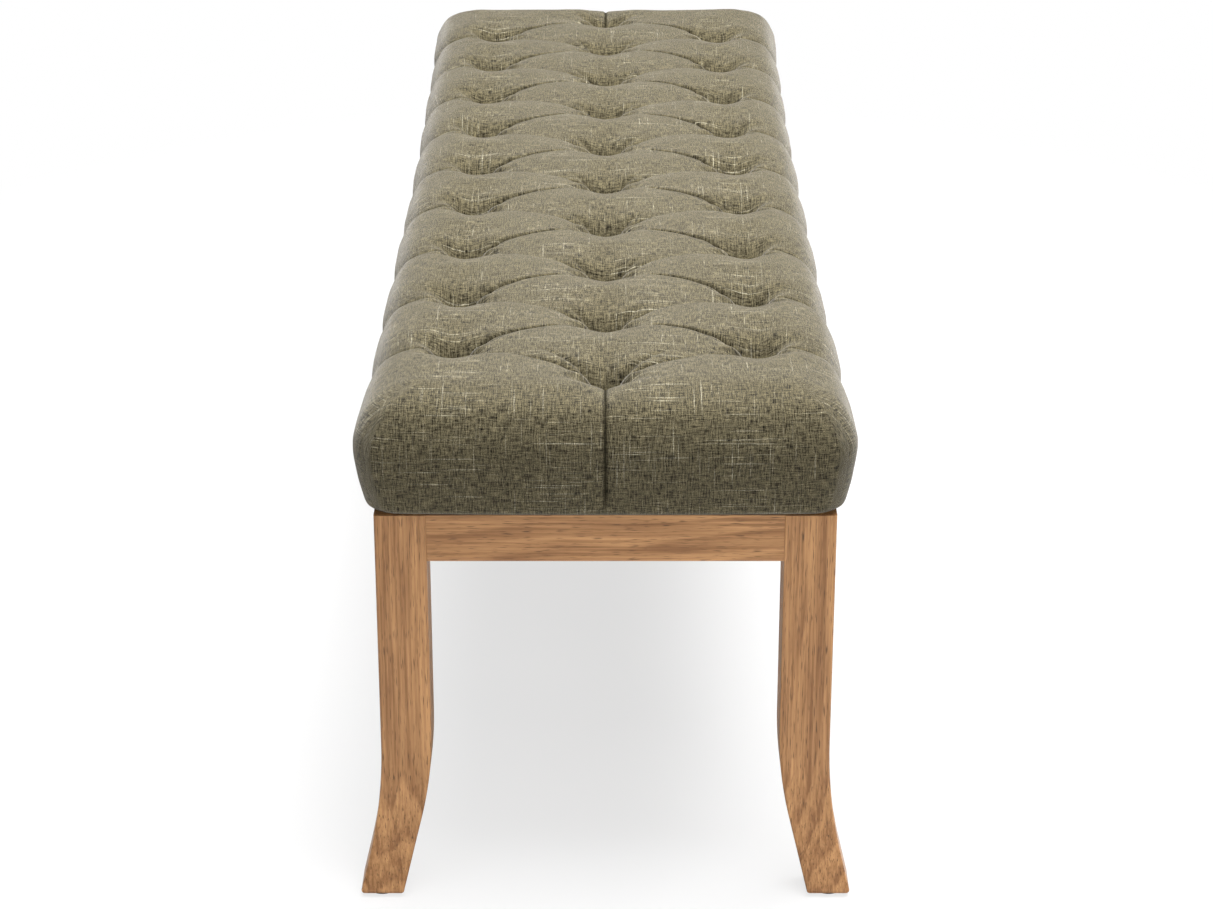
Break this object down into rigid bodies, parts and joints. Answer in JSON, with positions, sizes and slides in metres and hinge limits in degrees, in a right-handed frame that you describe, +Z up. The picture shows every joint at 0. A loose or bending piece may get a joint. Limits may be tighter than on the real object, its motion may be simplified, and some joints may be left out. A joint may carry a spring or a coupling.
{
  "type": "upholstered bench",
  "caption": "Long backless bench with a padded seat in diamond tufting over a wooden frame with rails and outward-curved legs",
  "frame": {"origin": "on the floor under the middle of the bench", "axes": "+X along the bench, +Y across it, +Z up"},
  "size_m": [1.4986, 0.4626, 0.5005],
  "materials": {
    "leg_wood": "light brown hardwood, satin clear lacquer, grain along the leg",
    "rail_wood": "light brown hardwood, satin clear lacquer, grain along the rail",
    "inner_wood": "bare planed softwood",
    "plywood": "bare plywood, 12 mm",
    "foam": "open-cell upholstery foam",
    "wadding": "white polyester wadding",
    "cover_fabric": "linen-like plain weave, taupe grey with slubs",
    "dust_cloth": "black spunbonded dust cloth",
    "twine": "waxed button twine",
    "dowel_wood": "fluted beech dowel",
    "plated_steel": "zinc plated steel",
    "fastener_steel": "plated steel wire and screws",
    "glide_plastic": "black polyethylene"
  },
  "bodies": {
    "root": {"leg_front_left": "leg_wood", "leg_front_right": "leg_wood", "leg_rear_left": "leg_wood", "leg_rear_right": "leg_wood", "end_rail_front": "rail_wood", "end_rail_rear": "rail_wood", "side_rail_left": "rail_wood", "side_rail_right": "rail_wood", "cross_rail_1": "inner_wood", "cross_rail_2": "inner_wood", "cross_rail_3": "inner_wood", "corner_block_front_left": "inner_wood", "corner_block_front_right": "inner_wood", "corner_block_rear_left": "inner_wood", "corner_block_rear_right": "inner_wood", "seat_board": "plywood", "foam_core": "foam", "wadding": "wadding", "tufted_cover": "cover_fabric", "dust_cover": "dust_cloth", "tufting_twine": "twine", "rail_dowels": "dowel_wood", "cross_rail_dowels": "dowel_wood", "leg_bolts": "plated_steel", "bolt_washers": "plated_steel", "bolt_nuts": "plated_steel", "block_screws": "fastener_steel", "seat_screws": "fastener_steel", "glide_nails": "fastener_steel", "twine_staples": "fastener_steel", "hem_staples": "fastener_steel", "dust_cover_staples": "fastener_steel", "foot_glide_front_left": "glide_plastic", "foot_glide_front_right": "glide_plastic", "foot_glide_rear_left": "glide_plastic", "foot_glide_rear_right": "glide_plastic"}
  },
  "joints": []
}
